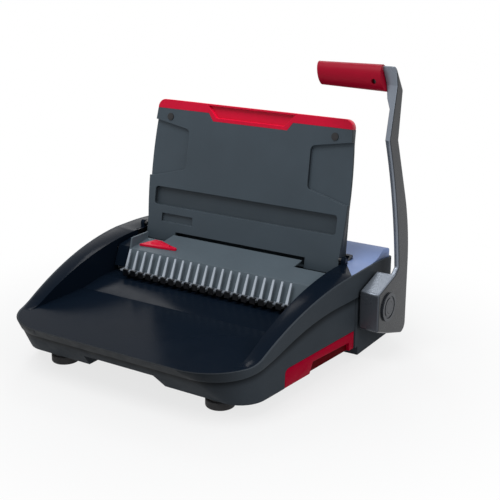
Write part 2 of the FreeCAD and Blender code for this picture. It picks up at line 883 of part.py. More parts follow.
# chip drawer
drawer_front = new_body("drawer_front")
hull(drawer_front, D.panel_step)
keep_side(drawer_front, drawer_outline(ZERO))
inside = outline(new_sketch(drawer_front, "XY"), box(-FAR, -FAR, drawer_face_x, FAR))
cut(drawer_front, inside, FAR)
pull = outline(new_sketch(drawer_front, "YZ", D.half_width - D.pull_depth), [
    (D.pull_front_y, ZERO), (D.pull_rear_y, ZERO), (D.pull_rear_y, D.pull_top_z),
    (D.pull_front_y + D.pull_slant, D.pull_top_z), (D.pull_front_y, D.skirt_z),
])
cut(drawer_front, pull, NEAR)

tray_front_y = D.drawer_front_y + D.drawer_side
tray_rear_y = D.drawer_rear_y - D.drawer_side
chips = new_body("chip_tray")
chip_plan = box(D.drawer_back_x, tray_front_y, drawer_face_x, tray_rear_y)
pad(chips, outline(new_sketch(chips, "XY", D.drawer_floor_z), chip_plan), D.drawer_rim_z - D.drawer_floor_z)
chip_space = box(
    D.drawer_back_x + D.drawer_wall, tray_front_y + D.drawer_wall,
    drawer_face_x - D.drawer_wall, tray_rear_y - D.drawer_wall)
cut(chips, outline(new_sketch(chips, "XY", D.drawer_floor_z + D.drawer_wall), chip_space), NEAR)

for label, rail_y in (
    ("drawer_rail_front", tray_front_y - D.drawer_gap - D.rail_thick),
    ("drawer_rail_rear", tray_rear_y + D.drawer_gap),
):
    rail = new_body(label)
    rail_plan = box(D.rail_start_x, rail_y, drawer_face_x - D.rail_gap, rail_y + D.rail_thick)
    pad(rail, outline(new_sketch(rail, "XY", D.skirt_z + D.plate_thick), rail_plan), D.rail_height)

# tines
tine_first_x = (D.tine_count - 1) * D.tine_pitch / -2
row_half = (D.tine_count - 1) * D.tine_pitch / 2 + D.tine_width / 2 + D.strip_margin
tines = new_body("tine_plate")
strip_front_y = D.tine_base_y - D.tine_thick
strip = box(-row_half, strip_front_y, row_half, D.strip_rear_y)
pad(tines, outline(new_sketch(tines, "XY", D.tine_base_z - D.strip_thick), strip), D.strip_thick)
blade_ends = []
for width, rear, height in (
    (D.tine_width, D.tine_base_y, D.tine_base_z), (D.tine_tip_width, ZERO, D.tine_tip_z),
):
    section = box(tine_first_x - width / 2, rear - D.tine_thick, tine_first_x + width / 2, rear)
    blade_ends.append(outline(new_sketch(tines, "XY", height), section))
row(tines, loft(tines, "Additive", *blade_ends), D.tine_count, D.tine_pitch)

# hooks
hook_z = D.tine_base_z - D.strip_thick - D.hook_gap - D.hook_thick
hooks = new_body("hook_rack")
hook_half = row_half - D.strip_margin / 2
hook_shift = D.tine_pitch / 2
hook_bar = box(hook_shift - hook_half, D.hook_bar_y, hook_shift + hook_half, D.hook_rear_y)
pad(hooks, outline(new_sketch(hooks, "XY", hook_z), hook_bar), D.hook_thick)
hook_first_x = tine_first_x + hook_shift - D.hook_width / 2
hook_top = hook_z + D.hook_height
hook = outline(new_sketch(hooks, "YZ", hook_first_x), [
    (D.hook_bar_y, hook_z), (D.hook_bar_y, hook_z + D.hook_thick),
    (D.hook_front_y + D.hook_thick, hook_z + D.hook_thick),
    (D.hook_front_y + D.hook_thick, hook_top - D.hook_thick),
    (D.hook_front_y + D.hook_lip, hook_top - D.hook_thick), (D.hook_front_y + D.hook_lip, hook_top),
    (D.hook_front_y, hook_top), (D.hook_front_y, hook_z),
])
row(hooks, pad(hooks, hook, D.hook_width), D.tine_count, D.tine_pitch)

# tower
tower_left_x = tine_first_x - D.tower_margin
tower_right_x = channel_half - D.tower_gap
tower_lean = (D.tower_crease_y - D.tower_foot_y) / (D.tower_crease_z - D.tine_base_z)
tower_slope = (D.tongue_z - D.tower_crease_z) / (D.tongue_y - D.tower_crease_y)


def on_top(y, rise):
    """Point above or below the sloping top of the tower."""
    return (y, D.tower_crease_z + (y - D.tower_crease_y) * tower_slope + rise)


def tower_line(front, wall):
    """Side view of the tower: leaning front, top that climbs slowly to the rear, upright back."""
    return [
        (D.tower_foot_y + front, D.tine_base_z),
        on_top(D.tower_crease_y + front - wall * tower_lean, -wall),
        on_top(D.tower_rear_y - wall, -wall),
        (D.tower_rear_y - wall, D.tine_base_z),
    ]


tower = new_body("opener_tower")
tower_width = tower_right_x - tower_left_x
shell = outline(new_sketch(tower, "YZ", tower_left_x), tower_line(ZERO, ZERO))
pad(tower, shell, tower_width)
space = outline(
    new_sketch(tower, "YZ", tower_left_x + D.tower_wall), tower_line(D.tower_front_wall, D.tower_wall))
cut(tower, space, tower_width - 2 * D.tower_wall)
bar_path = box(bar_y, D.tine_base_z, bar_rear_y, bar_path_z)
cut(tower, outline(new_sketch(tower, "YZ"), bar_path), 2 * FAR, both=True)
tongue_root = D.tower_rear_y - D.tower_wall
tongue = outline(new_sketch(tower, "YZ"), [
    on_top(tongue_root, -D.tower_wall), on_top(D.tongue_y, -D.tower_wall),
    on_top(D.tongue_y, ZERO), on_top(tongue_root, ZERO),
])
notch_half = lid_foot_half - D.lobe_width
pad(tower, tongue, 2 * (notch_half - D.tongue_gap), both=True)
cheek = outline(new_sketch(tower, "YZ", tower_left_x), [
    on_top(D.tower_crease_y, ZERO), on_top(D.tower_rear_y, ZERO),
    (D.tower_rear_y, D.cheek_z), (D.cheek_front_y, D.cheek_z),
])
pad(tower, cheek, D.cheek_thick)
lever_x = tower_left_x + D.lever_start
stem_x = lever_x + D.stem_start
stem_slot = box(
    stem_x - D.stem_gap, D.stem_y - D.stem_gap,
    stem_x + D.stem_length + D.guide_travel + D.stem_gap, D.stem_y + D.stem_depth + D.stem_gap)
cut(tower, outline(new_sketch(tower, "XY", D.slide_top_z), stem_slot), NEAR)

end = new_body("tower_end")
end_left_x = D.end_gap - channel_half
end_side = [
    (D.tower_foot_y + D.end_setback, D.tine_base_z), on_top(D.tower_crease_y + D.end_setback, ZERO),
    on_top(D.tower_rear_y, ZERO), (D.tower_rear_y, D.tower_rear_z), (bar_rear_y, D.tower_rear_z),
    (bar_rear_y, bar_path_z), (bar_y, bar_path_z), (bar_y, D.tine_base_z),
]
pad(end, outline(new_sketch(end, "YZ", end_left_x), end_side), tower_left_x - end_left_x)

# punch unit
die_z = D.floor_rear_z - D.die_thick
guide_z = D.floor_rear_z + D.throat


def slotted_plate(label, plan, low, thick, slot_width, slot_depth):
    """Plate with one rectangular slot for each punch pin."""
    body = new_body(label)
    pad(body, outline(new_sketch(body, "XY", low), plan), thick)
    slot = box(
        tine_first_x - slot_width / 2, D.pin_y - slot_depth / 2,
        tine_first_x + slot_width / 2, D.pin_y + slot_depth / 2)
    hole = cut(body, outline(new_sketch(body, "XY", low), slot), thick)
    row(body, hole, D.tine_count, D.tine_pitch)


slot_width = D.pin_width + 2 * D.pin_fit
slot_depth = D.pin_depth + 2 * D.pin_fit
slotted_plate(
    "die_plate", box(-frame_inner_x, D.floor_end_y, frame_inner_x, D.die_rear_y),
    die_z, D.die_thick, slot_width, slot_depth)
slotted_plate(
    "guide_plate", box(-frame_inner_x, D.strip_rear_y, frame_inner_x, D.guide_rear_y),
    guide_z, D.tine_base_z - guide_z, slot_width, slot_depth)
gauge = new_body("back_gauge")
gauge_plan = box(-frame_inner_x, D.gauge_front_y, frame_inner_x, D.die_rear_y)
pad(gauge, outline(new_sketch(gauge, "XY", D.floor_rear_z), gauge_plan), D.tine_base_z - D.floor_rear_z)

frame_low = D.skirt_z + D.plate_thick
for label, side in (("side_frame_left", -1), ("side_frame_right", 1)):
    frame = new_body(label)
    start = frame_inner_x if side > 0 else -frame_outer_x
    plate = outline(new_sketch(frame, "YZ", start), [
        (D.frame_step_y, frame_low), (D.frame_rear_y, frame_low), (D.frame_rear_y, D.seam_rear_z),
        (D.frame_step_y, D.frame_top_z), (D.frame_front_y, D.frame_top_z),
        (D.frame_front_y, D.frame_step_z), (D.frame_step_y, D.frame_step_z),
    ])
    pad(frame, plate, D.frame_thick)
    slide = outline(new_sketch(frame, "YZ"), box(bar_y, D.tine_base_z, bar_rear_y, FAR))
    cut(frame, slide, 2 * FAR, both=True)
    seat = circle(new_sketch(frame, "YZ"), (D.shaft_y, D.shaft_z), D.bush_radius + D.fit)
    cut(frame, seat, 2 * FAR, both=True)

bar = new_body("pressure_bar")
bar_plan = box(-bar_half, D.pin_y - D.bar_depth / 2, bar_half, D.pin_y + D.bar_depth / 2)
pad(bar, outline(new_sketch(bar, "XY", bar_z), bar_plan), D.bar_height)

pins = new_body("punch_pins")
head_half = D.head_margin - tine_first_x
head = box(-head_half, D.pin_y - D.head_depth / 2, head_half, D.pin_y + D.head_depth / 2)
pad(pins, outline(new_sketch(pins, "XY", D.head_z), head), D.head_thick)
pin = box(
    tine_first_x - D.pin_width / 2, D.pin_y - D.pin_depth / 2,
    tine_first_x + D.pin_width / 2, D.pin_y + D.pin_depth / 2)
pin_pad = pad(pins, outline(new_sketch(pins, "XY", D.pin_tip_z), pin), D.head_z - D.pin_tip_z)
row(pins, pin_pad, D.tine_count, D.tine_pitch)

# drive
shaft = new_body("drive_shaft")
axis_point = (D.shaft_y, D.shaft_z)
pad(shaft, circle(new_sketch(shaft, "YZ", shaft_left_x), axis_point, D.shaft_radius),
    shaft_right_x - shaft_left_x)

disc_y = D.shaft_y - D.throw * cosine(D.throw_angle)
disc_z = D.shaft_z + D.throw * sine(D.throw_angle)
window_radius = D.disc_radius + D.yoke_slack
for word, side in (("left", -1), ("right", 1)):
    bush = new_body(f"shaft_bush_{word}")
    start = frame_inner_x if side > 0 else -frame_outer_x
    ring = circle(new_sketch(bush, "YZ", start), axis_point, D.bush_radius)
    pad(bush, ring, D.frame_thick)
    flange_start = frame_inner_x - D.bush_flange_thick if side > 0 else -frame_inner_x
    pad(bush, circle(new_sketch(bush, "YZ", flange_start), axis_point, D.bush_flange), D.bush_flange_thick)
    bore = circle(new_sketch(bush, "YZ"), axis_point, D.shaft_radius + D.fit)
    cut(bush, bore, 2 * FAR, both=True)

    start = bar_half if side > 0 else -bar_half - D.yoke_thick
    disc = new_body(f"eccentric_{word}")
    pad(disc, circle(new_sketch(disc, "YZ", start), (disc_y, disc_z), D.disc_radius), D.yoke_thick)
    cut(disc, circle(new_sketch(disc, "YZ"), axis_point, D.shaft_radius + D.fit), 2 * FAR, both=True)

    yoke = new_body(f"yoke_{word}")
    front_y = D.shaft_y - D.throw
    rear_y = D.shaft_y - D.yoke_travel_rear
    rim = window_radius + D.yoke_rim
    foot_y = D.pin_y - D.bar_depth / 2
    plate = outline(new_sketch(yoke, "YZ", start), [
        (foot_y, bar_z), (foot_y + D.bar_depth, bar_z), (front_y - rim, disc_z, rim, 1),
        (front_y, disc_z - rim), (rear_y, disc_z - rim, rim, 1),
        (rear_y + rim, disc_z, rim, 1), (rear_y, disc_z + rim),
        (front_y, disc_z + rim), (foot_y, bar_z + D.bar_height),
    ])
    pad(yoke, plate, D.yoke_thick)
    slot = outline(new_sketch(yoke, "YZ"), [
        (front_y, disc_z - window_radius), (rear_y, disc_z - window_radius, window_radius, 1),
        (rear_y + window_radius, disc_z, window_radius, 1), (rear_y, disc_z + window_radius),
        (front_y, disc_z + window_radius, window_radius, 1),
        (front_y - window_radius, disc_z, window_radius, 1),
    ])
    cut(yoke, slot, 2 * FAR, both=True)

# handle
head_start_z = D.arm_tip_z - D.head_start_drop
head_end_z = D.arm_tip_z - D.head_end_drop
grip_z = D.arm_tip_z - D.grip_drop
arm = new_body("handle_arm")
block = outline(new_sketch(arm, "YZ", hub_inner_x), [
    (D.hub_front_y, D.hub_front_low_z), (D.hub_low_y, D.hub_mid_low_z),
    (D.hub_rear_low_y, D.hub_rear_low_z, D.hub_corner, 1),
    (D.hub_rear_y, D.hub_rear_low_z + D.hub_corner),
    (D.hub_rear_y, D.arm_rear_foot_z, D.arm_rear_bend, 1),
    (D.arm_rear_mid_y, D.arm_rear_mid_z), (D.arm_rear_kink_y, D.arm_rear_kink_z),
    (D.arm_rear_top_y, D.arm_tip_z - D.arm_rear_drop), (D.arm_tip_y, D.arm_tip_z),
    (D.arm_front_top_y, D.arm_tip_z - D.arm_front_drop),
    (D.arm_front_kink_y, D.arm_front_kink_z, D.arm_front_bend, -1),
    (D.arm_front_foot_y, D.arm_front_foot_z),
    (D.hub_step_y, D.hub_step_z), (D.hub_front_y, D.hub_front_top_z),
])
pad(arm, block, D.hub_thick)
blade_x = hub_outer_x - D.arm_thick


def head_x(z):
    """Slanting joint between the head of the arm and the grip."""
    slant = D.grip_free_shift / (2 * D.grip_tall)
    return hub_outer_x - D.arm_head + (D.arm_tip_z - z) * slant


inner_side = outline(new_sketch(arm, "XZ"), [
    (hub_inner_x - OVER, D.hub_step_z), (blade_x, D.hub_step_z), (blade_x, head_start_z),
    (head_x(head_end_z), head_end_z), (head_x(D.arm_tip_z), D.arm_tip_z),
    (head_x(D.arm_tip_z), FAR), (hub_inner_x - OVER, FAR),
])
cut(arm, inner_side, 2 * FAR, both=True)
hub_back = outline(new_sketch(arm, "YZ", hub_inner_x), [
    (D.hub_step_y, D.hub_step_z), (D.hub_rear_y, D.hub_back_z), (FAR, D.hub_back_z),
    (FAR, FAR), (D.hub_step_y, FAR),
])
cut(arm, hub_back, D.hub_thick - D.arm_thick)
bore = circle(new_sketch(arm, "YZ", hub_inner_x), axis_point, D.shaft_radius + D.fit)
cut(arm, bore, D.shaft_grip + D.bore_gap)


def hub_edge(edge):
    """Edges across the front of the hub."""
    return along_x(edge) and edge.Vertexes[0].Point.y < D.hub_front_y.value + D.hub_gap.value


round_edges(arm, D.hub_round, hub_edge)

grip = new_body("handle_grip")


def grip_ring(centre_y, centre_z, tall, deep, x):
    """Oval of two long and two short arcs drawn as an ellipse."""
    item = new_sketch(grip, "YZ", x)
    middle = Vector(centre_y.value, centre_z.value, 0)
    edge = item.addGeometry(Part.Ellipse(
        middle + Vector(0, tall.value, 0), middle + Vector(-deep.value, 0, 0), middle), False)
    item.exposeInternalGeometry(edge)
    fix_point(item, edge, 3, (centre_y, centre_z))
    fix_point(item, edge + 1, 1, (centre_y, centre_z + tall))
    bind(item, "DistanceX", (edge, 3, edge + 2, 1), -deep)
    return item


grip_low, grip_high = grip_z - D.grip_tall, grip_z + D.grip_tall
grip_free_x = hub_outer_x - D.grip_reach
grip_end_x = head_x(grip_low)
ring_far = grip_ring(D.grip_y, grip_z, D.grip_free_tall, D.grip_free_deep, grip_free_x)
ring_near = grip_ring(D.grip_y, grip_z, D.grip_tall, D.grip_deep, grip_end_x)
loft(grip, "Additive", ring_far, ring_near)
free_slant = outline(new_sketch(grip, "XZ"), [
    (grip_free_x - OVER, grip_low), (grip_free_x + D.grip_free_shift, grip_low),
    (grip_free_x, grip_high), (grip_free_x - OVER, grip_high),
])
cut(grip, free_slant, 2 * FAR, both=True)
head_slant = outline(new_sketch(grip, "XZ"), [
    (grip_end_x, grip_low), (grip_end_x + OVER, grip_low), (grip_end_x + OVER, grip_high),
    (head_x(grip_high), grip_high),
])
cut(grip, head_slant, 2 * FAR, both=True)
screw_point = (hub_outer_x - D.screw_reach, grip_z - D.screw_drop)
screw_hole = circle(new_sketch(grip, "XZ", -D.grip_y + D.screw_sink), screw_point, D.screw_radius)
cut(grip, screw_hole, NEAR)

screw = new_body("grip_screw")
screw_sketch = new_sketch(screw, "XZ", -D.grip_y + D.screw_sink)
circle(screw_sketch, screw_point, D.screw_radius - D.screw_fit)
pad(screw, screw_sketch, D.screw_sink)

cap = new_body("hub_cap")
pad(cap, circle(new_sketch(cap, "YZ", hub_outer_x), axis_point, D.cap_radius), D.cap_thick)
cut(cap, circle(new_sketch(cap, "YZ"), axis_point, D.cap_inner), 2 * FAR, both=True)
groove = new_sketch(cap, "YZ", hub_outer_x + D.cap_thick - D.cap_groove_depth)
groove_middle = (D.cap_radius + D.cap_inner) / 2
circle(groove, axis_point, groove_middle + D.cap_groove / 2)
circle(groove, axis_point, groove_middle - D.cap_groove / 2)
cut(cap, groove, NEAR)

bolt = new_body("hub_bolt")
pad(bolt, circle(new_sketch(bolt, "YZ", hub_outer_x), axis_point, D.bolt_radius), D.cap_thick)

# lid


def lid_body(label):
    body = new_body(label, ZERO, D.lid_y, D.lid_z)
    body.Placement.Rotation = Rotation(-AXIS_X, D.lid_lean.value)
    body.setExpression("Placement.Rotation.Angle", D.lid_lean.text)
    return body


def lid_cut(body, points, depth):
    """Cut an outline into the face of the lid."""
    return cut(body, outline(new_sketch(body, "XZ", D.lid_face - depth), points), NEAR)


panel = lid_body("lid_panel")
sheet_plan = [
    (D.lid_foot_corner - lid_foot_half, -D.lid_low),
    (lid_foot_half - D.lid_foot_corner, -D.lid_low, D.lid_foot_corner, 1),
    (lid_foot_half, D.lid_foot_corner - D.lid_low),
    (lid_foot_half, D.lid_side_start, D.lid_side_bow, 1), (lid_half, D.trim_low),
    (-lid_half, D.trim_low, D.lid_side_bow, 1), (-lid_foot_half, D.lid_side_start),
    (-lid_foot_half, D.lid_foot_corner - D.lid_low, D.lid_foot_corner, 1),
]
panel_depth = D.lid_panel_depth + D.lid_face
pad(panel, outline(new_sketch(panel, "XZ", -D.lid_panel_depth), sheet_plan), panel_depth)
lid_cut(panel, box(-notch_half, -D.lid_low - OVER, notch_half, D.notch_top), panel_depth)
groove_half = lid_foot_half - D.groove_margin
lid_cut(panel, round_box(
    -groove_half, D.groove_low, groove_half, D.groove_high, D.groove_round), D.groove_depth)
recess_low_x = lid_half - D.recess_low_reach
recess_high_x = lid_half - D.recess_high_reach
side_recess = lid_cut(panel, [
    (recess_low_x + D.recess_corner, D.recess_low),
    (lid_half, D.recess_low - D.recess_flare_low), (lid_half + NEAR, D.recess_low - D.recess_flare_low),
    (lid_half + NEAR, D.recess_high + D.recess_flare_high), (lid_half, D.recess_high + D.recess_flare_high),
    (recess_high_x + D.recess_corner, D.recess_high, D.recess_corner, 1),
    (recess_high_x, D.recess_high - D.recess_corner),
    (recess_low_x, D.recess_low + D.recess_corner, D.recess_corner, 1),
], D.recess_depth)
mirror(panel, side_recess)
slot_left_x = D.slot_margin - lid_foot_half
lid_cut(panel, box(slot_left_x, D.slot_low, slot_left_x + D.slot_width, D.slot_high), D.slot_depth)
tongue_plan = [
    (-D.tongue_low_half, D.tongue_low), (D.tongue_low_half, D.tongue_low),
    (D.tongue_high_half, D.trim_low), (-D.tongue_high_half, D.trim_low),
]
lid_cut(panel, tongue_plan, panel_depth)

back = lid_body("lid_cover")


def back_line(inset):
    """Side view of the back: a round foot about the hinge axis and a flat back that thins upwards."""
    foot = D.lid_back_low - inset
    return [
        (D.lid_panel_depth, inset - D.lid_low, foot, 1),
        (foot, ZERO),
        (D.lid_back_high - inset, D.trim_low - inset),
        (D.lid_panel_depth, D.trim_low - inset),
    ]


pad(back, outline(new_sketch(back, "YZ"), back_line(ZERO)), 2 * lid_half, both=True)
hollow_width = 2 * (lid_half - D.lid_back_wall)
cut(back, outline(new_sketch(back, "YZ"), back_line(D.lid_back_wall)), hollow_width, both=True)

trim = lid_body("lid_trim")
trim_plan = [
    (-lid_half, D.trim_low), (lid_half, D.trim_low),
    (lid_half, D.lid_high - D.lid_corner, D.lid_corner, 1), (lid_half - D.lid_corner, D.lid_high),
    (D.lid_corner - lid_half, D.lid_high, D.lid_corner, 1), (-lid_half, D.lid_high - D.lid_corner),
]
pad(trim, outline(new_sketch(trim, "XZ", -D.lid_back_high), trim_plan), D.lid_back_high + D.lid_face)
pad(trim, outline(new_sketch(trim, "XZ", -D.lid_panel_depth), tongue_plan), panel_depth)
finger_low_half = D.tongue_low_half - D.finger_rim
finger_high_half = finger_low_half + (D.finger_high - D.finger_low) * D.finger_slant
lid_cut(trim, [
    (-finger_low_half, D.finger_low), (finger_low_half, D.finger_low),
    (finger_high_half, D.finger_high), (-finger_high_half, D.finger_high),
], D.finger_depth)

for word, side in (("left", -1), ("right", 1)):
    bumper = lid_body(f"lid_bumper_{word}")
    pad(bumper, circle(
        new_sketch(bumper, "XZ", D.lid_face), (side * (lid_half - D.bumper_inset), D.bumper_w),
        D.bumper_radius), D.bumper_thick)

    pin_body = lid_body(f"lid_pin_{word}")
    lug_inner_x = lid_foot_half + D.lug_gap
    pivot_outer_x = lug_inner_x + D.pivot_reach
    start = lid_foot_half if side > 0 else -pivot_outer_x
    pad(pin_body, circle(new_sketch(pin_body, "YZ", start), (ZERO, ZERO), D.pivot_radius),
        pivot_outer_x - lid_foot_half)

    lug = new_body(f"hinge_lug_{word}")
    start = lug_inner_x if side > 0 else -lug_inner_x - D.lug_thick
    lug_plan = [
        (D.lid_y - D.lug_radius, D.crest_z), (D.lid_y + D.lug_radius, D.crest_z),
        (D.lid_y + D.lug_radius, D.lid_z, D.lug_radius, 1),
        (D.lid_y, D.lid_z + D.lug_radius, D.lug_radius, 1),
        (D.lid_y - D.lug_radius, D.lid_z),
    ]
    pad(lug, outline(new_sketch(lug, "YZ", start), lug_plan), D.lug_thick)
    eye = circle(new_sketch(lug, "YZ"), (D.lid_y, D.lid_z), D.pivot_radius + D.pivot_fit)
    cut(lug, eye, 2 * FAR, both=True)

# edge guide
lever = new_body("edge_guide_lever")
lever_top = D.lever_gap + D.lever_thick
slab = outline(new_sketch(lever, "YZ", lever_x), [
    on_top(D.lever_front_y, D.lever_gap), on_top(D.lever_rear_y, D.lever_gap),
    on_top(D.lever_rear_y, lever_top), on_top(D.lever_front_y, lever_top),
])
pad(lever, slab, D.lever_length)
lever_tip_x = lever_x + D.lever_length
arrow = outline(new_sketch(lever, "XY"), box(lever_x - NEAR, -NEAR, lever_tip_x + NEAR, NEAR))
outline(arrow, [
    (lever_x, D.lever_front_y), (lever_tip_x, D.lever_tip_y),
    (lever_tip_x, D.lever_tip_y + D.lever_tip_width), (lever_x + D.lever_neck_x, D.lever_neck_y),
    (lever_x + D.lever_back_end, D.lever_rear_y), (lever_x + D.lever_back_start, D.lever_rear_y),
])
cut(lever, arrow, FAR)
ridge = outline(new_sketch(lever, "YZ", lever_x + D.ridge_start), [
    on_top(D.ridge_y - D.ridge_half, lever_top), on_top(D.ridge_y + D.ridge_half, lever_top),
    on_top(D.ridge_y, lever_top + D.ridge_height),
])
pad(lever, ridge, D.ridge_length)
stem = box(stem_x, D.stem_y, stem_x + D.stem_length, D.stem_y + D.stem_depth)
stem_top = on_top(D.stem_y, lever_top)[1]
pad(lever, outline(new_sketch(lever, "XY", D.slide_top_z), stem), stem_top - D.slide_top_z)

slide = new_body("edge_guide_slide")
slide_y = D.stem_y - D.stem_gap
slide_plan = box(stem_x, slide_y, stem_x + D.slide_length, slide_y + D.slide_depth)
pad(slide, outline(new_sketch(slide, "XY", D.slide_low_z), slide_plan), D.slide_top_z - D.slide_low_z)

doc.recompute()

os.makedirs("parts", exist_ok=True)
for item in doc.Objects:
    if "Invalid" in item.State or "Error" in item.State:
        raise RuntimeError(f"{item.Label}: {item.State}")
for body in bodies:
    if body.Shape.isNull() or not body.Shape.isValid():
        raise RuntimeError(f"{body.Label}: the shape is not valid")
    body.Shape.exportStep(f"parts/{body.Label}.step")
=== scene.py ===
import json
import math

import bpy
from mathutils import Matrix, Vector


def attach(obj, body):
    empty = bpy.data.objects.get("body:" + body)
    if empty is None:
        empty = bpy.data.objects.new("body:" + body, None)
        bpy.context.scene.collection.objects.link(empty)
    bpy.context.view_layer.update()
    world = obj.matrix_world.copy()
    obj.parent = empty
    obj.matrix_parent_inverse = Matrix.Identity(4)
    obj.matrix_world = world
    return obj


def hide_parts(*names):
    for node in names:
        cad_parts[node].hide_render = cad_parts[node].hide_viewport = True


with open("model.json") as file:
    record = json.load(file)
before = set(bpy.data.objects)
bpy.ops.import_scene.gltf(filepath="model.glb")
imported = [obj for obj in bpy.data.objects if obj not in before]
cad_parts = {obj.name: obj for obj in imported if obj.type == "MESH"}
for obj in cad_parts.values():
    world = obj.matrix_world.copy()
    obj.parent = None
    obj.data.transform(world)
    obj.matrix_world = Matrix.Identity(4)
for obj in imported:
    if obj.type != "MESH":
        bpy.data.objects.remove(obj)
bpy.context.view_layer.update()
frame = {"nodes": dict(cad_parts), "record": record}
nodes = frame["nodes"]

WHITE = (1, 1, 1, 1)
DISPLAY_GAMMA = 2.2
# noise in the materials: the range that most of its values lie in, and how fine its patterns are
NOISE_RANGE = (0.3, 0.7)
DRIFT_SCALE = 14
DRIFT_DETAIL = 3
PATCH_SCALE = 60
FINE_DETAIL = 2
# how far colour and roughness swing about their middle, and how strong the grain is
COLOUR_SWING = 0.06
ROUGH_SWING = 0.1
GRAIN_STRENGTH = 0.35
# the scale of a noise on each axis: even, or drawn out along one axis like brushed metal
EVEN = (1, 1, 1)
ALONG_X = (0.04, 1, 1)
ALONG_Z = (1, 1, 0.04)


def linear(colour):
    """The linear colour of an sRGB triple from 0 to 255."""
    return tuple((value / 255) ** DISPLAY_GAMMA for value in colour) + (1.0,)


def scaled(colour, factor):
    """A colour made darker or lighter."""
    return tuple(min(1.0, value * factor) for value in colour[:3]) + (1.0,)


def add(tree, kind, **values):
    """A new shader node with its input values set."""
    node = tree.nodes.new(kind)
    for name, value in values.items():
        node.inputs[name].default_value = value
    return node


def mapped(tree, source, span, values=(0, 1), smooth=True):
    """A value that runs from the first of two values to the second while its source crosses a span."""
    node = tree.nodes.new("ShaderNodeMapRange")
    node.interpolation_type = "SMOOTHSTEP" if smooth else "LINEAR"
    for name, value in zip(("From Min", "From Max", "To Min", "To Max"), (*span, *values)):
        node.inputs[name].default_value = value
    tree.links.new(source, node.inputs["Value"])
    return node.outputs["Result"]


def joined(tree, operation, first, second):
    """Two values put together by one operation. The second may be a plain number."""
    node = tree.nodes.new("ShaderNodeMath")
    node.operation = operation
    tree.links.new(first, node.inputs[0])
    if isinstance(second, (int, float)):
        node.inputs[1].default_value = second
    else:
        tree.links.new(second, node.inputs[1])
    return node.outputs["Value"]


def product(tree, total, *others):
    """All the given values multiplied."""
    for other in others:
        total = joined(tree, "MULTIPLY", total, other)
    return total


def noise(tree, scale, detail, stretch):
    """A noise that stays fixed to its piece, drawn out along one axis where stretch is not even."""
    place = tree.nodes.new("ShaderNodeTexCoord")
    mapping = add(tree, "ShaderNodeMapping", Scale=stretch)
    texture = add(tree, "ShaderNodeTexNoise", Scale=scale, Detail=detail)
    tree.links.new(place.outputs["Object"], mapping.inputs["Vector"])
    tree.links.new(mapping.outputs["Vector"], texture.inputs["Vector"])
    return texture.outputs["Fac"]


def finish(name, colour, rough, grain=900, depth=0.00003, stretch=EVEN, metal=0.0, gloss=0.5):
    """A moulded, painted or metal surface: slight colour drift, uneven gloss and a fine grain."""
    material = bpy.data.materials.new(name)
    material.use_nodes = True
    tree = material.node_tree
    shader = tree.nodes["Principled BSDF"]
    shader.inputs["Metallic"].default_value = metal
    shader.inputs["Specular IOR Level"].default_value = gloss
    ramp = tree.nodes.new("ShaderNodeValToRGB")
    factors = (1 - COLOUR_SWING, 1 + COLOUR_SWING)
    for element, position, factor in zip(ramp.color_ramp.elements, NOISE_RANGE, factors):
        element.position = position
        element.color = scaled(linear(colour), factor)
    tree.links.new(noise(tree, DRIFT_SCALE, DRIFT_DETAIL, stretch), ramp.inputs["Fac"])
    tree.links.new(ramp.outputs["Color"], shader.inputs["Base Color"])
    roughs = (rough * (1 - ROUGH_SWING), rough * (1 + ROUGH_SWING))
    patches = noise(tree, PATCH_SCALE, FINE_DETAIL, stretch)
    uneven = mapped(tree, patches, NOISE_RANGE, roughs, smooth=False)
    tree.links.new(uneven, shader.inputs["Roughness"])
    bump = add(tree, "ShaderNodeBump", Strength=GRAIN_STRENGTH, Distance=depth)
    tree.links.new(noise(tree, grain, FINE_DETAIL, stretch), bump.inputs["Height"])
    tree.links.new(bump.outputs["Normal"], shader.inputs["Normal"])
    return material


def reading(tree, kind, axis):
    """One axis of a kind of texture coordinate."""
    source = tree.nodes.new("ShaderNodeTexCoord")
    parts = tree.nodes.new("ShaderNodeSeparateXYZ")
    tree.links.new(source.outputs[kind], parts.inputs["Vector"])
    return parts.outputs[axis]


def along_axis(tree, axis):
    """A spot's coordinate on one axis of the machine's frame, while its piece is at rest."""
    return reading(tree, "Object", axis)


def facing(tree, axis):
    """How far a face turns towards one axis of the machine's frame, while its piece is at rest."""
    return reading(tree, "Normal", axis)


def within(tree, limits):
    """One inside the bounds given in the machine's frame, as axis, test and bound, and zero outside."""
    sides = [joined(tree, test, along_axis(tree, axis), bound) for axis, test, bound in limits]
    return product(tree, *sides)


def dim(material, source, span, shares):
    """Scale a material's colour from one share of itself to another while a value crosses a span."""
    tree = material.node_tree
    base = tree.nodes["Principled BSDF"].inputs["Base Color"]
    colour = base.links[0].from_socket
    scale = tree.nodes.new("ShaderNodeVectorMath")
    scale.operation = "SCALE"
    tree.links.new(colour, scale.inputs["Vector"])
    tree.links.new(mapped(tree, source, span, shares), scale.inputs["Scale"])
    tree.links.new(scale.outputs["Vector"], base)


def tint(material, mask, share):
    """Scale a material's colour to a share of itself where a mask is one."""
    dim(material, mask, (0, 1), (1, share))


